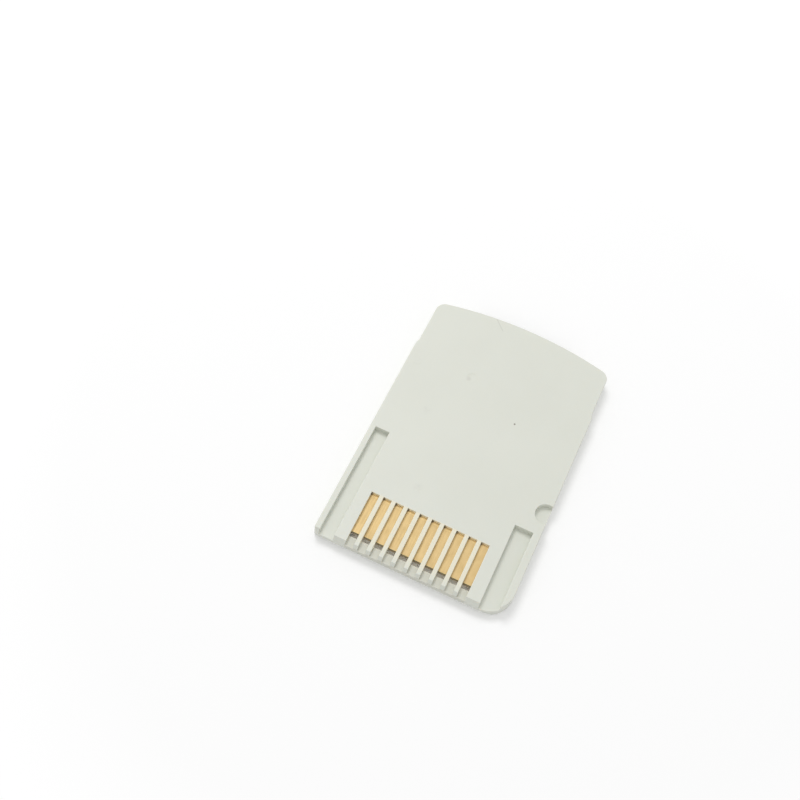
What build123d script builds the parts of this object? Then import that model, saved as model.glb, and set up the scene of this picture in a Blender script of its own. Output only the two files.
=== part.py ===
"""Memory card adapter: a flat white card in the stick format that takes a smaller micro card.

The frame: origin at the middle of the label side's face, +Z through the card towards its contact side,
+Y from the end that is pushed into a device to the bowed rear end, where the micro card goes in.
"""
import os
from math import sqrt

from build123d import *

os.makedirs("parts", exist_ok=True)

# The card's body, in millimetres
body_width = 20.0
body_length = 31.0
body_thickness = 1.6
rear_arc_radius = 41.0
rear_corner_radius = 1.1
front_corner_radius = 0.5
index_corner_radius = 2.6
grip_length = 7.0
grip_inset = 0.17
grip_run_in = 0.5
grip_blend_radius = 1.0
edge_radius = 0.1
seam_chamfer = 0.03
nose_bevel_length = 0.3
nose_bevel_drop = 0.48
nose_chamfer_length = 0.4
nose_chamfer_height = 0.45

# The micro card that the slot is made for
micro_card_width = 11.0
micro_card_nose_width = 9.7
micro_card_nose_length = 6.3
micro_card_length = 15.0
micro_card_thickness = 0.7
micro_card_notch_distance = 8.4
micro_card_stick_out = 0.7
slot_side_play = 0.1
slot_height_play = 0.12

# Walls of the two moulded shells
roof_wall = 0.4
cover_rim = 0.22
bay_clearance = 0.08
stack_clearance = 0.01

# Contact windows and the ribs between them
contact_count = 10
contact_pitch = 1.3
window_width = 0.86
window_length = 5.02
window_front_distance = 1.07
contact_depth = 0.38
contact_row_offset = -0.38
sill_depth = 0.47

# Guide grooves, latch notch and mould mark on the contact side, and the softened edge of each opening
mouth_radius = 0.04
groove_depth = 0.65
long_groove_width = 1.52
long_groove_length = 12.85
long_groove_edge_wall = 0.58
short_groove_width = 1.9
short_groove_length = 9.25
short_groove_edge_wall = 0.8
notch_radius = 1.13
notch_inset = 0.35
notch_front_distance = 11.65
notch_depth = 0.6
mould_mark_radius = 0.5
mould_mark_depth = 0.02
mould_mark_x = -3.0
mould_mark_rear_distance = 8.3

# Circuit board and its plated contacts
board_thickness = 0.3
board_side_margin = 0.55
board_front_distance = 1.55
pad_thickness = 0.03
pad_overlap = 0.05
pad_hidden_length = 0.8
pad_board_margin = 0.05
board_ledge_width = 0.44
board_corner_radius = 0.3

# Spring contacts and the block that carries them
spring_count = 8
spring_pitch = 1.1
spring_width = 0.6
spring_thickness = 0.1
spring_tail_length = 1.3
spring_flat_past_block = 0.3
spring_reach = 2.7
spring_dip = 0.31
spring_tip_length = 0.8
spring_tip_rise = 0.16
spring_bend_radius = 0.4
spring_roof_clearance = 0.02
spring_bay_margin = 0.35
spring_bay_end_room = 0.5
block_length = 2.1
block_side_clearance = 0.05
block_board_gap = 0.05
comb_clearance = 0.05
comb_height = 0.08
solder_length = 0.4

# Leaf spring that clicks into the micro card's side notch
leaf_thickness = 0.12
leaf_edge_clearance = 0.07
leaf_pocket_depth = 0.85
leaf_half_span = 1.4
leaf_foot_length = 0.6
leaf_reach = 0.35
leaf_bend_radius = 0.8
leaf_pocket_end_room = 0.2

# Locating pegs between the two shells
peg_radius = 0.45
peg_height = 0.33
peg_clearance = 0.05
peg_edge_distance = 1.3
peg_rear_distance = 3.2
peg_middle_distance = 16.1
peg_front_distance = 3.3

# Label recess and thumb relief on the label side
label_thickness = 0.08
label_recess_depth = 0.1
label_edge_gap = 0.1
label_side_margin = 2.0
label_front_margin = 1.8
label_rear_margin = 2.8
label_corner_radius = 0.6
relief_width = 9.8
relief_depth = 1.3
relief_corner_radius = 0.6

# Parts under the board
chip_width = 6.5
chip_end_room = 2.7
chip_thickness = 0.36
chip_edge_radius = 0.08
chip_row_gap = 0.9
capacitor_count = 4
capacitor_length = 1.0
capacitor_width = 0.5
capacitor_height = 0.34
resistor_count = 4
resistor_length = 1.0
resistor_width = 0.5
resistor_height = 0.25
row_end_room = 2.2

# Places worked out from the body: the two ends, and the layers counted down from the contact side
half_width = body_width / 2
front_y = -body_length / 2
rear_y = body_length / 2
groove_floor_z = body_thickness - groove_depth
sill_z = body_thickness - sill_depth
pad_top_z = body_thickness - contact_depth
board_top_z = pad_top_z - pad_thickness
board_bottom_z = board_top_z - board_thickness
board_roof_z = pad_top_z + stack_clearance
slot_roof_z = body_thickness - roof_wall
slot_floor_z = slot_roof_z - micro_card_thickness - slot_height_play
spring_roof_z = board_top_z + spring_thickness + spring_roof_clearance
parting_z = slot_floor_z + cover_rim

# Places along the card
sill_rear_y = front_y + window_front_distance
window_rear_y = sill_rear_y + window_length
board_front_y = front_y + board_front_distance
card_stop_y = rear_y + micro_card_stick_out - micro_card_length
block_front_y = card_stop_y - block_length
board_rear_y = block_front_y - block_board_gap
ledge_opening_front_y = board_front_y + board_ledge_width
ledge_opening_rear_y = board_rear_y - bay_clearance - board_ledge_width
key_y = card_stop_y + micro_card_nose_length
detent_y = card_stop_y + micro_card_notch_distance
grip_y = rear_y - grip_length

# Places across the card
row_width = (contact_count - 1) * contact_pitch + window_width
row_left_x = contact_row_offset - row_width / 2
board_left_x = row_left_x - board_side_margin
board_right_x = row_left_x + row_width + board_side_margin
ledge_opening_left_x = board_left_x + bay_clearance + board_ledge_width
ledge_opening_right_x = board_right_x - bay_clearance - board_ledge_width
slot_right_x = micro_card_width / 2 + slot_side_play
slot_left_x = -slot_right_x
key_x = micro_card_nose_width - micro_card_width / 2 + slot_side_play
spring_row_x = (slot_left_x + key_x) / 2
long_groove_left_x = -half_width + long_groove_edge_wall
short_groove_right_x = half_width - short_groove_edge_wall
leaf_wall_x = slot_right_x + leaf_pocket_depth
long_groove_middle_x = long_groove_left_x + long_groove_width / 2
short_groove_middle_x = short_groove_right_x - short_groove_width / 2

window_places = [row_left_x + window_width / 2 + n * contact_pitch for n in range(contact_count)]
spring_places = [spring_row_x + (n - (spring_count - 1) / 2) * spring_pitch for n in range(spring_count)]
comb_places = [x + spring_pitch / 2 for x in spring_places[:-1]]
peg_places = [
    (-half_width + peg_edge_distance, rear_y - peg_rear_distance),
    (half_width - peg_edge_distance, rear_y - peg_rear_distance),
    (-half_width + peg_edge_distance, rear_y - peg_middle_distance),
    (half_width - peg_edge_distance, rear_y - peg_middle_distance),
    (long_groove_middle_x, front_y + peg_front_distance),
    (short_groove_middle_x, front_y + peg_front_distance),
]

# How far a cutting sketch runs past the body, so that it cuts an edge cleanly
beyond = 1.0
# How near an edge's middle has to be to the place where it is looked for
edge_search = 0.01


def span(x_min, x_max, y_min, y_max, mode=Mode.ADD):
    """A rectangle between two limits each way, in the sketch that is being drawn."""
    with Locations(((x_min + x_max) / 2, (y_min + y_max) / 2)):
        Rectangle(x_max - x_min, y_max - y_min, mode=mode)


def body_outline():
    """The card seen from its contact side, with its four corners rounded."""
    grip_x = half_width - grip_inset
    corner_y = rear_y - rear_arc_radius + sqrt(rear_arc_radius**2 - grip_x**2)
    with BuildSketch() as outline:
        with BuildLine():
            Polyline(
                (-grip_x, corner_y),
                (-grip_x, grip_y + grip_run_in),
                (-half_width, grip_y),
                (-half_width, front_y),
                (half_width, front_y),
                (half_width, grip_y),
                (grip_x, grip_y + grip_run_in),
                (grip_x, corner_y),
            )
            ThreePointArc((grip_x, corner_y), (0, rear_y), (-grip_x, corner_y))
        make_face()
        fillet(outline.vertices().group_by(Axis.Y)[1], grip_blend_radius)
        fillet(outline.vertices().group_by(Axis.Y)[-1], rear_corner_radius)
        fillet(outline.vertices().group_by(Axis.Y)[0].sort_by(Axis.X)[0], front_corner_radius)
        fillet(outline.vertices().group_by(Axis.Y)[0].sort_by(Axis.X)[-1], index_corner_radius)
    return outline.sketch


def slot_plan():
    """The keyed way in for the micro card, open at the rear, in the sketch that is being drawn."""
    span(slot_left_x, slot_right_x, key_y, rear_y + beyond)
    span(slot_left_x, key_x, block_front_y - block_board_gap, key_y)


def leaf_pocket_plan():
    """The pocket beside the slot for the leaf spring, in the sketch that is being drawn."""
    half_length = leaf_half_span + leaf_foot_length + leaf_pocket_end_room
    span(slot_right_x, leaf_wall_x, detent_y - half_length, detent_y + half_length)


def board_bay_plan(bay_front_y):
    """The bay around the circuit board, in the sketch that is being drawn."""
    span(board_left_x - bay_clearance, board_right_x + bay_clearance, bay_front_y, board_rear_y)


# Contact side shell: the white moulding with the contact windows, grooves, notch and slot roof
with BuildPart() as contact_side_shell:
    with BuildSketch(Plane.XY.offset(parting_z)):
        add(body_outline())
    extrude(amount=body_thickness - parting_z)
    fillet(faces().sort_by(Axis.Z)[-1].edges(), edge_radius)
    chamfer(faces().sort_by(Axis.Z)[0].edges(), seam_chamfer)

    # Sloped nose
    with BuildSketch(Plane.YZ.offset(-half_width)):
        with BuildLine():
            Polyline(
                (front_y, body_thickness - nose_bevel_drop),
                (front_y + nose_bevel_length, body_thickness),
                (front_y, body_thickness),
                close=True,
            )
        make_face()
    extrude(amount=body_width, mode=Mode.SUBTRACT)

    # Guide grooves, both open at the nose
    with BuildSketch(Plane.XY.offset(groove_floor_z)):
        span(long_groove_left_x, long_groove_left_x + long_groove_width,
             front_y - beyond, front_y + long_groove_length)
        span(short_groove_right_x - short_groove_width, short_groove_right_x,
             front_y - beyond, front_y + short_groove_length)
    extrude(amount=groove_depth, mode=Mode.SUBTRACT)

    # Latch notch in the right edge
    with BuildSketch(Plane.XY.offset(body_thickness - notch_depth)):
        with Locations((half_width - notch_inset, front_y + notch_front_distance)):
            Circle(notch_radius)
    extrude(amount=notch_depth, mode=Mode.SUBTRACT)

    # Contact windows through the roof, running on as open cells over the sill
    with BuildSketch(Plane.XY.offset(sill_z)):
        for x in window_places:
            span(x - window_width / 2, x + window_width / 2, front_y - beyond, window_rear_y)
    extrude(amount=sill_depth, mode=Mode.SUBTRACT)

    # Softened edges round the grooves, the notch, the windows and the ribs' noses
    mouth_edges = (
        edges()
        .filter_by_position(Axis.Z, body_thickness - edge_search, body_thickness + edge_search)
        .filter_by_position(Axis.X, long_groove_left_x - edge_search, short_groove_right_x + edge_search)
        .filter_by_position(Axis.Y, front_y, front_y + long_groove_length + edge_search)
    )
    fillet(mouth_edges, mouth_radius)

    # Faint round mark of an ejector pin
    with BuildSketch(Plane.XY.offset(body_thickness - mould_mark_depth)):
        with Locations((mould_mark_x, rear_y - mould_mark_rear_distance)):
            Circle(mould_mark_radius)
    extrude(amount=mould_mark_depth, mode=Mode.SUBTRACT)

    # Room inside: the board bay, the keyed slot, the leaf spring's pocket and the bay over the springs
    with BuildSketch(Plane.XY.offset(parting_z)):
        board_bay_plan(sill_rear_y)
    extrude(amount=board_roof_z - parting_z, mode=Mode.SUBTRACT)
    with BuildSketch(Plane.XY.offset(parting_z)):
        slot_plan()
        leaf_pocket_plan()
    extrude(amount=slot_roof_z - parting_z, mode=Mode.SUBTRACT)
    with BuildSketch(Plane.XY.offset(parting_z)):
        span(spring_places[0] - spring_width / 2 - spring_bay_margin,
             spring_places[-1] + spring_width / 2 + spring_bay_margin,
             board_rear_y - spring_tail_length - solder_length - spring_bay_end_room,
             card_stop_y + spring_reach + spring_tip_length + spring_bay_end_room)
    extrude(amount=spring_roof_z - parting_z, mode=Mode.SUBTRACT)

    # Locating pegs
    with BuildSketch(Plane.XY.offset(parting_z)):
        with Locations(*peg_places):
            Circle(peg_radius)
    extrude(amount=-peg_height)

contact_side_shell.part.label = "contact_side_shell"
export_step(contact_side_shell.part, "parts/contact_side_shell.step")


# Label side shell: the white cover that carries the board and closes the slot
with BuildPart() as label_side_shell:
    with BuildSketch():
        add(body_outline())
    extrude(amount=parting_z)
    fillet(faces().sort_by(Axis.Z)[0].edges(), edge_radius)
    chamfer(faces().sort_by(Axis.Z)[-1].edges(), seam_chamfer)

    # Chamfer under the nose
    with BuildSketch(Plane.YZ.offset(-half_width)):
        with BuildLine():
            Polyline(
                (front_y, nose_chamfer_height),
                (front_y + nose_chamfer_length, 0),
                (front_y, 0),
                close=True,
            )
        make_face()
    extrude(amount=body_width, mode=Mode.SUBTRACT)

    # Room inside, down to the slot's floor
    with BuildSketch(Plane.XY.offset(slot_floor_z)):
        board_bay_plan(board_front_y)
        slot_plan()
        leaf_pocket_plan()
    extrude(amount=cover_rim, mode=Mode.SUBTRACT)

    # Ledge all round under the board
    with BuildSketch(Plane.XY.offset(slot_floor_z)):
        span(board_left_x + bay_clearance, board_right_x - bay_clearance,
             board_front_y, board_rear_y - bay_clearance)
        span(ledge_opening_left_x, ledge_opening_right_x,
             ledge_opening_front_y, ledge_opening_rear_y, mode=Mode.SUBTRACT)
    extrude(amount=board_bottom_z - slot_floor_z)

    # Holes for the pegs
    with BuildSketch(Plane.XY.offset(parting_z)):
        with Locations(*peg_places):
            Circle(peg_radius + peg_clearance)
    extrude(amount=-peg_height - peg_clearance, mode=Mode.SUBTRACT)

    # Recess for the label
    with BuildSketch():
        span(-half_width + label_side_margin, half_width - label_side_margin,
             front_y + label_front_margin, rear_y - label_rear_margin)
        fillet(vertices(), label_corner_radius)
    extrude(amount=label_recess_depth, mode=Mode.SUBTRACT)

    # Thumb relief at the slot's mouth, which clears the ridge of the micro card
    with BuildSketch():
        span(-relief_width / 2, relief_width / 2, rear_y - relief_depth, rear_y + beyond)
        fillet(vertices().group_by(Axis.Y)[0], relief_corner_radius)
    extrude(amount=slot_floor_z, mode=Mode.SUBTRACT)

label_side_shell.part.label = "label_side_shell"
export_step(label_side_shell.part, "parts/label_side_shell.step")


# Blank label: a white film sticker in its recess
with BuildPart() as blank_label:
    with BuildSketch(Plane.XY.offset(label_recess_depth - label_thickness)):
        span(-half_width + label_side_margin, half_width - label_side_margin,
             front_y + label_front_margin, rear_y - label_rear_margin)
        fillet(vertices(), label_corner_radius)
        offset(amount=-label_edge_gap, mode=Mode.REPLACE)
    extrude(amount=label_thickness)

blank_label.part.label = "blank_label"
export_step(blank_label.part, "parts/blank_label.step")


# Circuit board: thin glass-epoxy board on the label side shell's ledge
with BuildPart() as circuit_board:
    with BuildSketch(Plane.XY.offset(board_bottom_z)):
        span(board_left_x, board_right_x, board_front_y, board_rear_y)
        fillet(vertices(), board_corner_radius)
    extrude(amount=board_thickness)

circuit_board.part.label = "circuit_board"
export_step(circuit_board.part, "parts/circuit_board.step")


# Gold contacts: one plated finger on the board behind each window
for number, x in enumerate(window_places, start=1):
    with BuildPart() as gold_contact:
        with BuildSketch(Plane.XY.offset(board_top_z)):
            span(x - window_width / 2 - pad_overlap, x + window_width / 2 + pad_overlap,
                 board_front_y + pad_board_margin, window_rear_y + pad_hidden_length)
        extrude(amount=pad_thickness)

    gold_contact.part.label = f"gold_contact_{number}"
    export_step(gold_contact.part, f"parts/gold_contact_{number}.step")


# Spring block: the moulded comb that holds the springs and stops the micro card
with BuildPart() as spring_block:
    with BuildSketch(Plane.XY.offset(slot_floor_z)):
        span(slot_left_x + block_side_clearance, key_x - block_side_clearance, block_front_y, card_stop_y)
    extrude(amount=board_top_z - slot_floor_z)
    comb_width = spring_pitch - spring_width - 2 * comb_clearance
    with BuildSketch(Plane.XY.offset(board_top_z)):
        for x in comb_places:
            span(x - comb_width / 2, x + comb_width / 2, block_front_y, card_stop_y)
    extrude(amount=comb_height)

spring_block.part.label = "spring_block"
export_step(spring_block.part, "parts/spring_block.step")


# Spring contacts: bronze leaves soldered to the board, bowed down into the slot
spring_middle_z = board_top_z + spring_thickness / 2
spring_points = [
    (board_rear_y - spring_tail_length, spring_middle_z),
    (card_stop_y + spring_flat_past_block, spring_middle_z),
    (card_stop_y + spring_reach, spring_middle_z - spring_dip),
    (card_stop_y + spring_reach + spring_tip_length, spring_middle_z - spring_dip + spring_tip_rise),
]
for number, x in enumerate(spring_places, start=1):
    with BuildPart() as spring_contact:
        with BuildLine(Plane.YZ.offset(x)) as spring_line:
            FilletPolyline(*spring_points, radius=spring_bend_radius)
        with BuildSketch(Plane(spring_line.line @ 0, x_dir=(1, 0, 0), z_dir=(0, 1, 0))):
            Rectangle(spring_width, spring_thickness)
        sweep(path=spring_line.line)

    spring_contact.part.label = f"spring_contact_{number}"
    export_step(spring_contact.part, f"parts/spring_contact_{number}.step")


# Solder joints: a wedge of solder behind each spring's tail
with BuildPart() as solder_joints:
    for x in spring_places:
        with BuildSketch(Plane.YZ.offset(x - spring_width / 2)):
            with BuildLine():
                Polyline(
                    (spring_points[0][0], board_top_z),
                    (spring_points[0][0], board_top_z + spring_thickness),
                    (spring_points[0][0] - solder_length, board_top_z),
                    close=True,
                )
            make_face()
        extrude(amount=spring_width)

solder_joints.part.label = "solder_joints"
export_step(solder_joints.part, "parts/solder_joints.step")


# Leaf spring: a steel strip bowed into the slot's side, which holds the micro card by its notch
leaf_line_x = leaf_wall_x - leaf_thickness / 2
leaf_crest_x = slot_right_x - leaf_reach
with BuildPart() as leaf_spring:
    with BuildLine(Plane.XY.offset((slot_floor_z + slot_roof_z) / 2)) as leaf_line:
        FilletPolyline(
            (leaf_line_x, detent_y - leaf_half_span - leaf_foot_length),
            (leaf_line_x, detent_y - leaf_half_span),
            (leaf_crest_x, detent_y),
            (leaf_line_x, detent_y + leaf_half_span),
            (leaf_line_x, detent_y + leaf_half_span + leaf_foot_length),
            radius=leaf_bend_radius,
        )
    with BuildSketch(Plane(leaf_line.line @ 0, x_dir=(1, 0, 0), z_dir=(0, 1, 0))):
        Rectangle(leaf_thickness, slot_roof_z - slot_floor_z - 2 * leaf_edge_clearance)
    sweep(path=leaf_line.line)

leaf_spring.part.label = "leaf_spring"
export_step(leaf_spring.part, "parts/leaf_spring.step")


# Controller chip: black moulded package under the board, in the middle of the ledge's opening
chip_x = (board_left_x + board_right_x) / 2
chip_y = (ledge_opening_front_y + ledge_opening_rear_y) / 2
chip_length = ledge_opening_rear_y - ledge_opening_front_y - 2 * chip_end_room
with BuildPart() as controller_chip:
    with BuildSketch(Plane.XY.offset(board_bottom_z)):
        with Locations((chip_x, chip_y)):
            Rectangle(chip_width, chip_length)
    extrude(amount=-chip_thickness)
    fillet(faces().sort_by(Axis.Z)[0].edges(), chip_edge_radius)

controller_chip.part.label = "controller_chip"
export_step(controller_chip.part, "parts/controller_chip.step")


# Capacitors: a row beside the chip, on the side of the long groove
capacitor_x = chip_x - chip_width / 2 - chip_row_gap
capacitor_front_y = ledge_opening_front_y + row_end_room + capacitor_width / 2
capacitor_rear_y = ledge_opening_rear_y - row_end_room - capacitor_width / 2
for number in range(1, capacitor_count + 1):
    capacitor_share = (number - 1) / (capacitor_count - 1)
    capacitor_y = capacitor_front_y + (capacitor_rear_y - capacitor_front_y) * capacitor_share
    with BuildPart() as capacitor:
        with BuildSketch(Plane.XY.offset(board_bottom_z)):
            with Locations((capacitor_x, capacitor_y)):
                Rectangle(capacitor_length, capacitor_width)
        extrude(amount=-capacitor_height)

    capacitor.part.label = f"capacitor_{number}"
    export_step(capacitor.part, f"parts/capacitor_{number}.step")


# Resistors: a row on the chip's other side
resistor_x = chip_x + chip_width / 2 + chip_row_gap
resistor_front_y = ledge_opening_front_y + row_end_room + resistor_width / 2
resistor_rear_y = ledge_opening_rear_y - row_end_room - resistor_width / 2
for number in range(1, resistor_count + 1):
    resistor_share = (number - 1) / (resistor_count - 1)
    resistor_y = resistor_front_y + (resistor_rear_y - resistor_front_y) * resistor_share
    with BuildPart() as resistor:
        with BuildSketch(Plane.XY.offset(board_bottom_z)):
            with Locations((resistor_x, resistor_y)):
                Rectangle(resistor_length, resistor_width)
        extrude(amount=-resistor_height)

    resistor.part.label = f"resistor_{number}"
    export_step(resistor.part, f"parts/resistor_{number}.step")
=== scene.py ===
"""Memory card adapter: a white card in the stick format, contact side up, on a pale table."""

from math import radians, tau

import bmesh
import bpy
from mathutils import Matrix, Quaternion, Vector


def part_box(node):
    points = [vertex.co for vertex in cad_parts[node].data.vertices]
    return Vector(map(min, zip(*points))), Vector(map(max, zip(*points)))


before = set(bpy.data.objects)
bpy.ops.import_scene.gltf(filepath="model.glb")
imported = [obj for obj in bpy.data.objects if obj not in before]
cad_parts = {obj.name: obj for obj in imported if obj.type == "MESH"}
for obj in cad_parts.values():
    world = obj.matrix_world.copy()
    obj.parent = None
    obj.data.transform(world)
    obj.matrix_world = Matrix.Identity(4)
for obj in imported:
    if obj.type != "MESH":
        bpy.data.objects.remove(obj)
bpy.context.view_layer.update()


# Camera: where the photo was taken from, close above the front right of the card.
# It is turned a little about its own line of sight.
camera_place = Vector((0.00826, -0.05849, 0.10643))
camera_target = Vector((-0.00879, 0.00217, 0.0))
camera_roll = radians(10.4)
camera_lens = 53.69
camera_sensor = 36.0
camera_nearest = 0.001

camera_data = bpy.data.cameras.new("camera")
camera_data.lens = camera_lens
camera_data.sensor_width = camera_sensor
camera_data.clip_start = camera_nearest
camera = bpy.data.objects.new("camera", camera_data)
bpy.context.scene.collection.objects.link(camera)
camera.location = camera_place
camera.rotation_mode = "QUATERNION"
towards_card = (camera_target - camera_place).to_track_quat("-Z", "Y")
camera.rotation_quaternion = towards_card @ Quaternion((0.0, 0.0, 1.0), camera_roll)
bpy.context.scene.camera = camera


# Contact side shell: the white half with the contact windows, grooves and latch notch, moulded in a slightly
# translucent ABS with a fine spark-eroded skin, and welded to the other half. Use shows on it: ribs rubbed
# whiter, and smudges, a speck and a hairline on the face. The ribs also carry a painted warm reflection of
# the gold; the windows' walls have painted light, their rear left corners and the nose's cells painted shade,
# and the ejector mark a darker patch.
per_metre = 1000.0
plastic_white = (0.75, 0.765, 0.69)
plastic_shade = (0.735, 0.75, 0.675)
plastic_cloud_scale = 0.12
plastic_grain_scale = 9.0
plastic_grain_depth = 0.004
plastic_roughness = (0.38, 0.5)
plastic_glow = 0.25
plastic_glow_depth = 0.0003
plastic_glow_spread = (1.0, 0.9, 0.8)
# The ribs' white: rubbed whiter, and warm with a painted reflection of the gold.
rubbed_and_gold_lit_white = (0.83, 0.795, 0.645)
# Painted light on the windows' walls: lighter, and warm as the gold's reflected light.
window_wall_lit_white = (0.95, 0.87, 0.66)
# Painted shade on the floors of the nose's cells.
cell_shade_grey = (0.66, 0.66, 0.58)
smudge_and_patch_grey = (0.62, 0.62, 0.56)
# Brown for real dirt on the face and for painted shade in the windows' corners.
dirt_and_shade_brown = (0.16, 0.13, 0.10)
noise_low = 0.35
noise_high = 0.65
contact_count = 10
window_width = 0.86
window_length = 5.02
cell_length = 1.07
cells_top_z = 1.2
bare_nose_length = 0.3
edge_radius = 0.1
mask_blend = 0.05
# Painted shade in each window's rear left corner.
corner_shade_shift = -0.08
corner_shade_core = 0.14
corner_shade_radius = 0.34
corner_shade_share = 0.8
smudge_places = ((-9.0, 6.4), (-5.7, 1.4), (-2.8, -7.0))
smudge_core = 0.1
smudge_radius = 0.7
smudge_share = 0.32
smudge_patch_scale = 2.2
speck_middle = (3.06, 4.13)
speck_core = 0.05
speck_radius = 0.13
speck_share = 0.85
hair_start = Vector((-3.5, 15.3))
hair_end = Vector((-2.28, 14.08))
hair_core = 0.027
hair_half_width = 0.072
hair_share = 0.14
hair_fade_start = 0.4
hair_fade_end = 0.55
ejector_mark_middle = (-3.0, 7.2)
ejector_mark_core = 0.2
ejector_mark_radius = 0.5
ejector_mark_depth = 0.015
# A darker patch at the lower left of the ejector mark.
mark_patch_middle = (-3.24, 6.92)
mark_patch_core = 0.1
mark_patch_radius = 0.34
mark_patch_share = 0.5


def box_of(node):
    """The lowest and the highest corner of a CAD node's box, in millimetres."""
    low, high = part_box(node)
    return low * per_metre, high * per_metre


def middle_of(node):
    """The middle of a CAD node's box, in millimetres."""
    low, high = box_of(node)
    return (low + high) / 2


shell_low, shell_high = box_of("contact_side_shell")
outer_face_z = shell_high.z - edge_radius
cells_rear_y = shell_low.y + cell_length
ribs_bare_y = shell_low.y + bare_nose_length
board_front_y = box_of("circuit_board")[0].y
windows_rear_y = cells_rear_y + window_length
windows_left_x = middle_of("gold_contact_1").x - window_width / 2
windows_right_x = middle_of(f"gold_contact_{contact_count}").x + window_width / 2


class Finish:
    """A material with a Principled shader, whose patterns lie in millimetres on the card's own frame."""

    def __init__(self, name, metallic=0.0):
        self.material = bpy.data.materials.new(name)
        self.material.use_nodes = True
        self.nodes = self.material.node_tree.nodes
        self.links = self.material.node_tree.links
        self.shader = self.nodes["Principled BSDF"]
        self.shader.inputs["Metallic"].default_value = metallic
        place = self.nodes.new("ShaderNodeTexCoord")
        self.place = self.mapping(place.outputs["Object"], scale=(per_metre, per_metre, per_metre))

    def mapping(self, vector, scale=(1.0, 1.0, 1.0), shift=(0.0, 0.0, 0.0)):
        """A vector that is scaled and then shifted."""
        node = self.nodes.new("ShaderNodeMapping")
        node.inputs["Scale"].default_value = scale
        node.inputs["Location"].default_value = shift
        self.links.new(vector, node.inputs["Vector"])
        return node.outputs["Vector"]

    def noise(self, scale, detail=3.0, stretch=(1.0, 1.0, 1.0)):
        """Smooth noise with about scale patches to the millimetre, times stretch along each axis."""
        node = self.nodes.new("ShaderNodeTexNoise")
        node.inputs["Scale"].default_value = scale
        node.inputs["Detail"].default_value = detail
        self.links.new(self.mapping(self.place, scale=stretch), node.inputs["Vector"])
        return node.outputs["Fac"]

    def axis(self, name):
        """One coordinate on the card."""
        node = self.nodes.new("ShaderNodeSeparateXYZ")
        self.links.new(self.place, node.inputs["Vector"])
        return node.outputs[name]

    def distance(self, middle):
        """The distance from a point in the card's plane."""
        node = self.nodes.new("ShaderNodeVectorMath")
        node.operation = "LENGTH"
        flat = self.mapping(self.place, scale=(1.0, 1.0, 0.0), shift=(-middle[0], -middle[1], 0.0))
        self.links.new(flat, node.inputs[0])
        return node.outputs["Value"]

    def past(self, start, direction):
        """The distance past a start, measured one way in the card's plane."""
        node = self.nodes.new("ShaderNodeVectorMath")
        node.operation = "DOT_PRODUCT"
        node.inputs[1].default_value = (direction.x, direction.y, 0.0)
        self.links.new(self.mapping(self.place, shift=(-start.x, -start.y, 0.0)), node.inputs[0])
        return node.outputs["Value"]

    def math(self, operation, first, second=None):
        """One operation on sockets or numbers."""
        node = self.nodes.new("ShaderNodeMath")
        node.operation = operation
        for socket, value in zip(node.inputs, (first, second)):
            if isinstance(value, bpy.types.NodeSocket):
                self.links.new(value, socket)
            elif value is not None:
                socket.default_value = value
        return node.outputs["Value"]

    def add(self, first, second):
        """The sum of two."""
        return self.math("ADD", first, second)

    def less(self, first, second):
        """The first less the second."""
        return self.math("SUBTRACT", first, second)

    def times(self, first, second):
        """The product of two."""
        return self.math("MULTIPLY", first, second)

    def either(self, first, second):
        """The larger of two shares."""
        return self.math("MAXIMUM", first, second)

    def off(self, value, place):
        """How far a value lies from a place, on either side of it."""
        return self.math("ABSOLUTE", self.less(value, place))

    def ranged(self, value, from_low, from_high, to_low, to_high):
        """A value carried from one range to another, and kept inside it."""
        node = self.nodes.new("ShaderNodeMapRange")
        self.links.new(value, node.inputs["Value"])
        node.inputs["From Min"].default_value = from_low
        node.inputs["From Max"].default_value = from_high
        node.inputs["To Min"].default_value = to_low
        node.inputs["To Max"].default_value = to_high
        return node.outputs["Result"]

    def rise(self, value, start, end):
        """0 below the start and 1 past the end."""
        return self.ranged(value, start, end, 0.0, 1.0)

    def fall(self, value, start, end):
        """1 below the start and 0 past the end."""
        return self.ranged(value, start, end, 1.0, 0.0)

    def mix(self, share, first, second):
        """A colour between two, each a colour or a socket."""
        node = self.nodes.new("ShaderNodeMix")
        node.data_type = "RGBA"
        self.links.new(share, node.inputs[0])
        for socket, value in zip((node.inputs[6], node.inputs[7]), (first, second)):
            if isinstance(value, bpy.types.NodeSocket):
                self.links.new(value, socket)
            else:
                socket.default_value = (*value, 1.0)
        return node.outputs[2]

    def mottled(self, noise, first, second):
        """A colour that wanders between two as a noise does."""
        return self.mix(self.rise(noise, noise_low, noise_high), first, second)

    def color(self, socket):
        """Gives the shader its colour."""
        self.links.new(socket, self.shader.inputs["Base Color"])

    def color_so_far(self):
        """The colour that the shader has, for more to be laid over it."""
        return self.shader.inputs["Base Color"].links[0].from_socket

    def roughness(self, noise, smoothest, roughest):
        """A roughness that wanders between two as a noise does."""
        wandering = self.ranged(noise, noise_low, noise_high, smoothest, roughest)
        self.links.new(wandering, self.shader.inputs["Roughness"])

    def relief(self, height):
        """Unevenness, as a height in millimetres."""
        node = self.nodes.new("ShaderNodeBump")
        node.inputs["Strength"].default_value = 1.0
        node.inputs["Distance"].default_value = 1 / per_metre
        self.links.new(height, node.inputs["Height"])
        self.links.new(node.outputs["Normal"], self.shader.inputs["Normal"])

    def on(self, *names):
        """Gives the finish to CAD nodes."""
        for name in names:
            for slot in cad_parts[name].material_slots:
                slot.material = self.material


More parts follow.
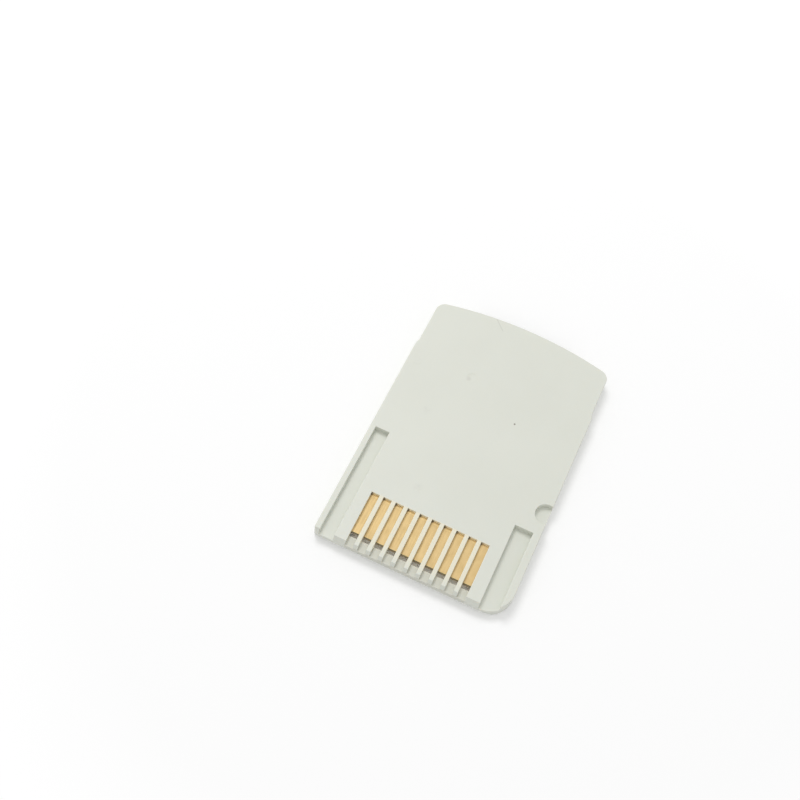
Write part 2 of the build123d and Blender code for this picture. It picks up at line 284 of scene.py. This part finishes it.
def white_plastic(name):
    """Matt white ABS, faintly cloudy, and the height of its grain."""
    finish = Finish(name)
    finish.shader.inputs["Subsurface Weight"].default_value = plastic_glow
    finish.shader.inputs["Subsurface Radius"].default_value = plastic_glow_spread
    finish.shader.inputs["Subsurface Scale"].default_value = plastic_glow_depth
    finish.color(finish.mottled(finish.noise(plastic_cloud_scale), plastic_white, plastic_shade))
    grain = finish.noise(plastic_grain_scale)
    finish.roughness(grain, *plastic_roughness)
    return finish, finish.times(grain, plastic_grain_depth)


def off_row(finish, across, first, last, count):
    """How far a point lies from the nearest of a row of evenly spaced lines."""
    pitch = (last - first) / (count - 1)
    steps = finish.math("DIVIDE", finish.less(across, first), pitch)
    nearest = finish.math("MINIMUM", finish.either(finish.math("ROUND", steps), 0.0), count - 1.0)
    return finish.times(finish.off(steps, nearest), pitch)


def corner_shade(finish):
    """The share of the painted shade in the rear left corner of each contact window."""
    first_x = windows_left_x + corner_shade_shift
    last_x = windows_right_x - window_width + corner_shade_shift
    off_left = off_row(finish, finish.axis("X"), first_x, last_x, contact_count)
    off_rear = finish.less(finish.axis("Y"), windows_rear_y)
    squares = finish.add(finish.times(off_left, off_left), finish.times(off_rear, off_rear))
    from_corner = finish.math("SQRT", squares)
    return finish.ranged(from_corner, corner_shade_core, corner_shade_radius, corner_shade_share, 0.0)


def add_wear_and_painted_light(finish):
    """Lays the rubbed ribs with a painted warm reflection of the gold, the windows' walls with painted light,
    and painted shade in the windows' corners and the nose's cells over the plastic.
    """
    x = finish.axis("X")
    y = finish.axis("Y")
    z = finish.axis("Z")
    past_left = finish.rise(x, windows_left_x - mask_blend, windows_left_x + mask_blend)
    before_right = finish.fall(x, windows_right_x - mask_blend, windows_right_x + mask_blend)
    in_row = finish.times(past_left, before_right)
    behind_nose = finish.rise(y, ribs_bare_y, board_front_y)
    beside_gold = finish.times(behind_nose, finish.fall(y, windows_rear_y, windows_rear_y + 2 * mask_blend))
    above_cells = finish.rise(z, cells_top_z, cells_top_z + 2 * mask_blend)
    on_ribs = finish.times(finish.times(in_row, beside_gold), above_cells)
    # Rib tops painted whiter, as rubbed, and warm with a painted reflection of the gold.
    rubbed_and_gold_lit = finish.mix(on_ribs, finish.color_so_far(), rubbed_and_gold_lit_white)

    # The windows' walls get painted light, and their rear left corners painted shade.
    half_row = (windows_right_x - windows_left_x) / 2
    off_row_middle = finish.off(x, windows_left_x + half_row)
    to_end_walls = finish.fall(off_row_middle, half_row + mask_blend, half_row + 2 * mask_blend)
    below_face = finish.fall(z, outer_face_z, outer_face_z + 2 * mask_blend)
    on_walls = finish.times(finish.times(to_end_walls, beside_gold), below_face)
    walls_lit = finish.mix(on_walls, rubbed_and_gold_lit, window_wall_lit_white)
    # Painted shade in each window's rear left corner.
    corner_shaded = finish.mix(finish.times(on_walls, corner_shade(finish)), walls_lit, dirt_and_shade_brown)

    # Painted shade on the floors of the nose's cells between the ribs.
    at_nose = finish.fall(y, cells_rear_y - 2 * mask_blend, cells_rear_y + 2 * mask_blend)
    below_ribs = finish.fall(z, cells_top_z - mask_blend, cells_top_z + mask_blend)
    in_cells = finish.times(finish.times(in_row, at_nose), below_ribs)
    finish.color(finish.mix(in_cells, corner_shaded, cell_shade_grey))


def add_face_marks(finish):
    """Lays the smudges, a darker patch by the ejector mark, the speck and the hairline over the colour so far
    of the outer face.
    """
    outer_face = finish.rise(finish.axis("Z"), outer_face_z - 2 * mask_blend, outer_face_z)
    patches = finish.rise(finish.noise(smudge_patch_scale), noise_low, noise_high)
    # A darker patch at the lower left of the ejector mark, and the smudges.
    grey = finish.ranged(
        finish.distance(mark_patch_middle), mark_patch_core, mark_patch_radius, mark_patch_share, 0.0)
    for middle in smudge_places:
        smudge = finish.ranged(finish.distance(middle), smudge_core, smudge_radius, smudge_share, 0.0)
        grey = finish.either(grey, finish.times(patches, smudge))
    smudged = finish.mix(finish.times(outer_face, grey), finish.color_so_far(), smudge_and_patch_grey)

    run = hair_end - hair_start
    along = run.normalized()
    off_hair = finish.off(finish.past(hair_start, along.orthogonal()), 0.0)
    off_hair_middle = finish.off(finish.past(hair_start, along), run.length / 2)
    hair = finish.times(
        finish.ranged(off_hair, hair_core, hair_half_width, hair_share, 0.0),
        finish.fall(off_hair_middle, run.length * hair_fade_start, run.length * hair_fade_end))
    speck = finish.ranged(finish.distance(speck_middle), speck_core, speck_radius, speck_share, 0.0)
    finish.color(finish.mix(finish.times(outer_face, finish.either(speck, hair)), smudged, dirt_and_shade_brown))


contact_side_plastic, contact_side_grain = white_plastic("contact_side_plastic")
add_wear_and_painted_light(contact_side_plastic)
add_face_marks(contact_side_plastic)
ejector_mark_dish = contact_side_plastic.ranged(
    contact_side_plastic.distance(ejector_mark_middle),
    ejector_mark_core, ejector_mark_radius, -ejector_mark_depth, 0.0)
contact_side_plastic.relief(contact_side_plastic.add(contact_side_grain, ejector_mark_dish))
contact_side_plastic.on("contact_side_shell")


# Label side shell: the other white half, which closes the body, carries the board and is the slot's floor.
# The same ABS from the same kind of mould, welded to the contact side along the parting line. Its inner face
# from the parting line up, which shows in the shaded gap in front of the board, is painted whiter to lift
# that shade.
gap_lift_white = (0.87, 0.85, 0.805)
parting_z = 0.6
parting_blend = 0.02

label_side_plastic, label_side_grain = white_plastic("label_side_plastic")
# Painted light: the inner face above the parting line is whiter, to lift the shade in the gap in front of the
# board.
above_parting = label_side_plastic.rise(
    label_side_plastic.axis("Z"), parting_z - 2 * parting_blend, parting_z - parting_blend)
label_side_plastic.color(
    label_side_plastic.mix(above_parting, label_side_plastic.color_so_far(), gap_lift_white))
label_side_plastic.relief(label_side_grain)
label_side_plastic.on("label_side_shell")


# Blank label: a matt white film with nothing printed on it, cut with round corners.
# It is stuck into the shallow recess of the label side. Its fibres lie along the card.
film_white = (0.80, 0.80, 0.785)
film_shade = (0.785, 0.785, 0.77)
film_fibre_scale = 14.0
film_fibre_detail = 4.0
film_fibre_stretch = (1.0, 0.35, 1.0)
film_fibre_depth = 0.0015
film_sheen_scale = 1.1
film_roughness = (0.46, 0.58)

label_film = Finish("label_film")
film_fibres = label_film.noise(film_fibre_scale, film_fibre_detail, film_fibre_stretch)
label_film.color(label_film.mottled(film_fibres, film_white, film_shade))
label_film.roughness(label_film.noise(film_sheen_scale), *film_roughness)
label_film.relief(label_film.times(film_fibres, film_fibre_depth))
label_film.on("blank_label")


# Circuit board: thin glass-epoxy laminate, laid on the label side's ledge. Its cut edges are bare brown. Both
# faces have a dark green solder mask, with the glass weave and the copper faint under it. A trace runs from
# each contact and spring to a via, and under the chip from each capacitor to the resistor across from it.
mask_green = (0.022, 0.07, 0.035)
mask_light = (0.032, 0.09, 0.046)
mask_over_copper = (0.05, 0.14, 0.066)
mask_depth = 0.02
laminate_dark = (0.41, 0.28, 0.145)
laminate_light = (0.50, 0.37, 0.21)
laminate_layer_scale = 6.0
laminate_layer_stretch = (0.2, 0.2, 3.0)
board_sheen_scale = 3.0
board_roughness = (0.3, 0.42)
weave_pitch = 0.3
weave_depth = 0.001
copper_height = 0.015
copper_blend = 0.01
trace_half_width = 0.07
via_radius = 0.19
via_hole_radius = 0.09
contact_vias_y = -7.2
spring_vias_y = -4.9
spring_count = 8
capacitor_count = 4

board_laminate = Finish("board_laminate")


def reach_of(node):
    """Half the sides of a CAD node's box, in millimetres."""
    low, high = box_of(node)
    return (high - low) / 2


def glass_weave(finish):
    """Warp and weft of the glass cloth, as crossed waves."""
    warp = finish.math("SINE", finish.times(finish.axis("X"), tau / weave_pitch))
    weft = finish.math("SINE", finish.times(finish.axis("Y"), tau / weave_pitch))
    return finish.math("ABSOLUTE", finish.times(warp, weft))


def within(finish, distance, limit):
    """1 up to a limit and 0 past it."""
    return finish.fall(distance, limit - copper_blend, limit + copper_blend)


def traces(finish, off_line, along, start, end):
    """1 on a row of traces that run between two places, 0 elsewhere."""
    off_middle = finish.off(along, (start + end) / 2)
    in_run = within(finish, off_middle, abs(end - start) / 2)
    return finish.times(in_run, within(finish, off_line, trace_half_width))


def board_copper(finish):
    """1 where copper lies under the mask of either face, 0 elsewhere."""
    x = finish.axis("X")
    y = finish.axis("Y")
    board_middle_z = middle_of("circuit_board").z
    upper_face = finish.rise(finish.axis("Z"), board_middle_z - copper_blend, board_middle_z + copper_blend)

    chip_middle = middle_of("controller_chip")
    first_part = middle_of("capacitor_1")
    last_part = middle_of(f"capacitor_{capacitor_count}")
    off_parts = off_row(finish, y, first_part.y, last_part.y, capacitor_count)
    from_chip = finish.off(x, chip_middle.x)
    part_traces = traces(finish, off_parts, from_chip, 0.0, abs(first_part.x - chip_middle.x))
    copper = finish.times(finish.less(1.0, upper_face), part_traces)

    contact_rear_y = box_of("gold_contact_1")[1].y
    solder_front_y = box_of("solder_joints")[0].y
    for name, count, start_y, vias_y in (
        ("gold_contact", contact_count, contact_rear_y, contact_vias_y),
        ("spring_contact", spring_count, solder_front_y, spring_vias_y),
    ):
        off_line = off_row(finish, x, middle_of(f"{name}_1").x, middle_of(f"{name}_{count}").x, count)
        past_vias = finish.less(y, vias_y)
        squares = finish.add(finish.times(off_line, off_line), finish.times(past_vias, past_vias))
        from_via = finish.math("SQRT", squares)
        upper_traces = finish.times(upper_face, traces(finish, off_line, y, start_y, vias_y))
        copper = finish.either(copper, finish.either(upper_traces, within(finish, from_via, via_radius)))
        copper = finish.times(copper, finish.less(1.0, within(finish, from_via, via_hole_radius)))
    return copper


board_weave = glass_weave(board_laminate)
copper_share = board_copper(board_laminate)
board_mask = board_laminate.mix(board_weave, mask_green, mask_light)
masked_copper = board_laminate.mix(copper_share, board_mask, mask_over_copper)
glass_layers = board_laminate.noise(laminate_layer_scale, stretch=laminate_layer_stretch)
board_edge = board_laminate.mottled(glass_layers, laminate_dark, laminate_light)
off_board_middle = board_laminate.off(board_laminate.axis("Z"), middle_of("circuit_board").z)
board_face = reach_of("circuit_board").z
on_face = board_laminate.rise(off_board_middle, board_face - mask_depth, board_face - mask_depth / 2)
board_laminate.color(board_laminate.mix(on_face, board_edge, masked_copper))
board_laminate.roughness(board_laminate.noise(board_sheen_scale), *board_roughness)
board_laminate.relief(board_laminate.add(
    board_laminate.times(board_weave, weave_depth), board_laminate.times(copper_share, copper_height)))
board_laminate.on("circuit_board")


# Gold contacts: ten copper pads of the board, plated with nickel and gold, one behind each window.
# A device's springs have wiped fine scratches along them and dulled them. Each contact's rear end is painted
# brighter to lift the shade of the window's rear wall, and its rear left corner has painted shade.
gold_pale = (0.56, 0.425, 0.22)
gold_deep = (0.51, 0.38, 0.185)
# Painted light: a brighter gold for each contact's rear end, to lift the shade of the window's rear wall.
gold_lift_bright = (0.77, 0.585, 0.30)
gold_lift_from_y = -9.75
gold_cloud_scale = 0.9
gold_cloud_low = 0.15
gold_cloud_high = 0.35
gold_roughness = (0.5, 0.62)
wipe_scale = 9.0
wipe_detail = 5.0
wipe_stretch = (1.0, 0.06, 1.0)
wipe_depth = 0.003

gold_plating = Finish("gold_plating", metallic=1.0)
wipe_marks = gold_plating.noise(wipe_scale, wipe_detail, wipe_stretch)
cloudy_marks = gold_plating.times(gold_plating.noise(gold_cloud_scale), wipe_marks)
pale_share = gold_plating.rise(cloudy_marks, gold_cloud_low, gold_cloud_high)
gold_wiped = gold_plating.mix(pale_share, gold_deep, gold_pale)
# Painted light on the rear end of each contact, where the window's rear wall shades it.
at_rear_end = gold_plating.rise(
    gold_plating.axis("Y"), gold_lift_from_y, windows_rear_y - 2 * mask_blend)
gold_rear_lifted = gold_plating.mix(at_rear_end, gold_wiped, gold_lift_bright)
# Painted shade in each window's rear left corner, over the gold.
gold_plating.color(gold_plating.mix(corner_shade(gold_plating), gold_rear_lifted, dirt_and_shade_brown))
gold_plating.roughness(wipe_marks, *gold_roughness)
gold_plating.relief(gold_plating.times(wipe_marks, wipe_depth))
gold_plating.on(*[f"gold_contact_{number}" for number in range(1, contact_count + 1)])


# Spring block: the comb moulded in black heat-proof plastic, pressed in between the board and the slot.
# Short glass fibres show as a fine pale fleck in it.
block_black = (0.022, 0.022, 0.024)
fleck_grey = (0.075, 0.075, 0.08)
fleck_scale = 16.0
fleck_detail = 4.0
fleck_stretch = (0.4, 1.0, 1.0)
fleck_low = 0.56
fleck_high = 0.72
fleck_depth = 0.004
block_roughness = (0.42, 0.58)

block_plastic = Finish("block_plastic")
fibre_flecks = block_plastic.noise(fleck_scale, fleck_detail, fleck_stretch)
fleck_share = block_plastic.rise(fibre_flecks, fleck_low, fleck_high)
block_plastic.color(block_plastic.mix(fleck_share, block_black, fleck_grey))
block_plastic.roughness(fibre_flecks, *block_roughness)
block_plastic.relief(block_plastic.times(fibre_flecks, fleck_depth))
block_plastic.on("spring_block")


# Spring contacts: eight leaves stamped from gilt bronze strip and soldered to the board by their tails.
# Rolling and stamping leave fine lines along each leaf.
gilt_pale = (0.66, 0.50, 0.26)
gilt_deep = (0.60, 0.44, 0.21)
gilt_roughness = (0.22, 0.36)
gilt_line_stretch = (1.0, 0.01, 0.01)
rolled_line_scale = 24.0
rolled_line_depth = 0.001

gilt_bronze = Finish("gilt_bronze", metallic=1.0)
bronze_lines = gilt_bronze.noise(rolled_line_scale, stretch=gilt_line_stretch)
gilt_bronze.color(gilt_bronze.mottled(bronze_lines, gilt_deep, gilt_pale))
gilt_bronze.roughness(bronze_lines, *gilt_roughness)
gilt_bronze.relief(gilt_bronze.times(bronze_lines, rolled_line_depth))
gilt_bronze.on(*[f"spring_contact_{number}" for number in range(1, spring_count + 1)])


# Solder joints: a wedge of tin solder behind each spring's tail, which holds the spring to the board.
# Tin solder is dull grey where it froze last.
solder_bright = (0.62, 0.62, 0.61)
solder_dull = (0.42, 0.42, 0.42)
solder_roughness = (0.28, 0.5)
solder_skin_scale = 11.0
solder_skin_detail = 4.0
solder_skin_depth = 0.006

tin_solder = Finish("tin_solder", metallic=1.0)
frozen_skin = tin_solder.noise(solder_skin_scale, solder_skin_detail)
tin_solder.color(tin_solder.mottled(frozen_skin, solder_bright, solder_dull))
tin_solder.roughness(frozen_skin, *solder_roughness)
tin_solder.relief(tin_solder.times(frozen_skin, solder_skin_depth))
tin_solder.on("solder_joints")


# Leaf spring: a strip of stainless spring steel, bent to a low bow and held in its pocket by its two feet.
# It clicks into a micro card's side notch. Its rolled lines run along the strip.
steel_bright = (0.60, 0.60, 0.59)
steel_dark = (0.44, 0.44, 0.43)
steel_roughness = (0.2, 0.34)
steel_line_stretch = (0.01, 0.01, 1.0)

spring_steel = Finish("spring_steel", metallic=1.0)
steel_lines = spring_steel.noise(rolled_line_scale, stretch=steel_line_stretch)
spring_steel.color(spring_steel.mottled(steel_lines, steel_dark, steel_bright))
spring_steel.roughness(steel_lines, *steel_roughness)
spring_steel.relief(spring_steel.times(steel_lines, rolled_line_depth))
spring_steel.on("leaf_spring")


# Controller chip: a thin package moulded in black epoxy, soldered under the board.
# A shallow grey dot, burnt in by a laser, marks its first corner.
resin_black = (0.018, 0.018, 0.02)
resin_grey = (0.035, 0.035, 0.038)
dot_grey = (0.11, 0.11, 0.112)
resin_grain_scale = 12.0
resin_grain_depth = 0.006
chip_roughness = (0.4, 0.66)
chip_dot_inset = 0.7
chip_dot_radius = 0.28
chip_dot_blend = 0.03

chip_resin = Finish("chip_resin")
chip_corner = middle_of("controller_chip") - reach_of("controller_chip")
chip_dot_middle = (chip_corner.x + chip_dot_inset, chip_corner.y + chip_dot_inset)
from_dot_middle = chip_resin.distance(chip_dot_middle)
chip_dot = chip_resin.fall(from_dot_middle, chip_dot_radius - chip_dot_blend, chip_dot_radius)
resin_grain = chip_resin.noise(resin_grain_scale)
resin_color = chip_resin.mottled(resin_grain, resin_black, resin_grey)
resin_skin = chip_resin.less(resin_grain, chip_dot)
chip_resin.color(chip_resin.mix(chip_dot, resin_color, dot_grey))
chip_resin.roughness(resin_skin, *chip_roughness)
chip_resin.relief(chip_resin.times(resin_skin, resin_grain_depth))
chip_resin.on("controller_chip")


# Capacitors: four small blocks of tan ceramic, fired with their metal layers inside and tinned at the ends.
# They are soldered under the board in a row beside the chip.
ceramic_tan = (0.36, 0.22, 0.12)
ceramic_brown = (0.29, 0.17, 0.09)
ceramic_roughness = (0.36, 0.48)
ceramic_grain_scale = 10.0
tinned_end = (0.56, 0.56, 0.55)
tinned_length = 0.24
tinned_blend = 0.01
ceramic_grain_depth = 0.004


def chip_part(name, node, first, second, roughness):
    """A small block that lies along X, with metal ends and a body of another finish."""
    finish = Finish(name)
    body_end = reach_of(node).x - tinned_length
    off_middle = finish.off(finish.axis("X"), middle_of(node).x)
    ends = finish.rise(off_middle, body_end - tinned_blend, body_end + tinned_blend)
    grain = finish.noise(ceramic_grain_scale)
    finish.color(finish.mix(ends, finish.mottled(grain, first, second), tinned_end))
    finish.links.new(ends, finish.shader.inputs["Metallic"])
    finish.roughness(grain, *roughness)
    finish.relief(finish.times(grain, ceramic_grain_depth))
    return finish


capacitor_ceramic = chip_part(
    "capacitor_ceramic", "capacitor_1", ceramic_tan, ceramic_brown, ceramic_roughness)
capacitor_ceramic.on(*[f"capacitor_{number}" for number in range(1, capacitor_count + 1)])


# Resistors: four flat blocks of ceramic under a black glaze, with tinned ends.
# They are soldered under the board in a row on the chip's other side.
resistor_count = 4
glaze_black = (0.014, 0.014, 0.016)
glaze_blue = (0.022, 0.024, 0.032)
glaze_roughness = (0.18, 0.3)

resistor_glaze = chip_part("resistor_glaze", "resistor_1", glaze_black, glaze_blue, glaze_roughness)
resistor_glaze.on(*[f"resistor_{number}" for number in range(1, resistor_count + 1)])


# Table: a plain white sheet just under the card, wide enough for every view. It isn't part of the object.
# It glows more the farther it lies from the card, so that it fades to white and keeps the card's shadow.
table_half_size = 0.6
table_gap = 0.00002
table_white = (0.90, 0.90, 0.90, 1.0)
table_roughness = 0.9
table_gloss = 0.0
glow_white = (1.0, 1.0, 1.0, 1.0)
table_glow_near = 0.15
table_glow_far = 0.5
table_near = 0.04
table_far = 0.2

table_mesh = bmesh.new()
bmesh.ops.create_grid(table_mesh, x_segments=1, y_segments=1, size=table_half_size)
bmesh.ops.translate(table_mesh, verts=table_mesh.verts, vec=(0.0, 0.0, -table_gap))
table_data = bpy.data.meshes.new("table")
table_mesh.to_mesh(table_data)
table_mesh.free()
table = bpy.data.objects.new("table", table_data)
bpy.context.scene.collection.objects.link(table)

table_paint = bpy.data.materials.new("table_paint")
table_paint.use_nodes = True
table_shader = table_paint.node_tree.nodes["Principled BSDF"]
table_shader.inputs["Base Color"].default_value = table_white
table_shader.inputs["Roughness"].default_value = table_roughness
table_shader.inputs["Specular IOR Level"].default_value = table_gloss
table_shader.inputs["Emission Color"].default_value = glow_white


def seen_or_lit(tree, seen, lit):
    """One strength for what the camera, gloss and glass see, and another for what lights the card."""
    path = tree.nodes.new("ShaderNodeLightPath")
    share = path.outputs["Is Camera Ray"]
    for ray in ("Is Glossy Ray", "Is Transmission Ray"):
        either = tree.nodes.new("ShaderNodeMath")
        either.operation = "MAXIMUM"
        tree.links.new(share, either.inputs[0])
        tree.links.new(path.outputs[ray], either.inputs[1])
        share = either.outputs["Value"]
    strength = tree.nodes.new("ShaderNodeMapRange")
    strength.inputs["To Min"].default_value = lit
    strength.inputs["To Max"].default_value = seen
    tree.links.new(share, strength.inputs["Value"])
    return strength.outputs["Result"]


table_tree = table_paint.node_tree
table_place = table_tree.nodes.new("ShaderNodeTexCoord")
table_distance = table_tree.nodes.new("ShaderNodeVectorMath")
table_distance.operation = "LENGTH"
table_glow = table_tree.nodes.new("ShaderNodeMapRange")
table_glow.inputs["From Min"].default_value = table_near
table_glow.inputs["From Max"].default_value = table_far
table_glow.inputs["To Min"].default_value = table_glow_near
table_glow.inputs["To Max"].default_value = table_glow_far
table_seen = table_tree.nodes.new("ShaderNodeMath")
table_seen.operation = "MULTIPLY"
table_tree.links.new(table_place.outputs["Object"], table_distance.inputs[0])
table_tree.links.new(table_distance.outputs["Value"], table_glow.inputs["Value"])
table_tree.links.new(table_glow.outputs["Result"], table_seen.inputs[0])
table_tree.links.new(seen_or_lit(table_tree, 1.0, 0.0), table_seen.inputs[1])
table_tree.links.new(table_seen.outputs["Value"], table_shader.inputs["Emission Strength"])
table_data.materials.append(table_paint)


# Light: an even white room, which the camera sees as pure white, and one soft lamp.
# The lamp hangs high at the left rear, so that shadows fall as they do in the photo.
room_level = 0.68
lamp_place = Vector((-0.24, 0.26, 0.54))
lamp_size = 0.3
lamp_power = 1.3

room = bpy.data.worlds.new("room")
room.use_nodes = True
room_back = room.node_tree.nodes["Background"]
room_back.inputs["Color"].default_value = glow_white
room.node_tree.links.new(seen_or_lit(room.node_tree, 1.0, room_level), room_back.inputs["Strength"])
bpy.context.scene.world = room

lamp_data = bpy.data.lights.new("lamp", "AREA")
lamp_data.shape = "DISK"
lamp_data.size = lamp_size
lamp_data.energy = lamp_power
lamp = bpy.data.objects.new("lamp", lamp_data)
bpy.context.scene.collection.objects.link(lamp)
lamp.location = lamp_place
lamp.rotation_mode = "QUATERNION"
lamp.rotation_quaternion = (-lamp_place).to_track_quat("-Z", "Y")

bpy.context.scene.view_settings.view_transform = "Standard"
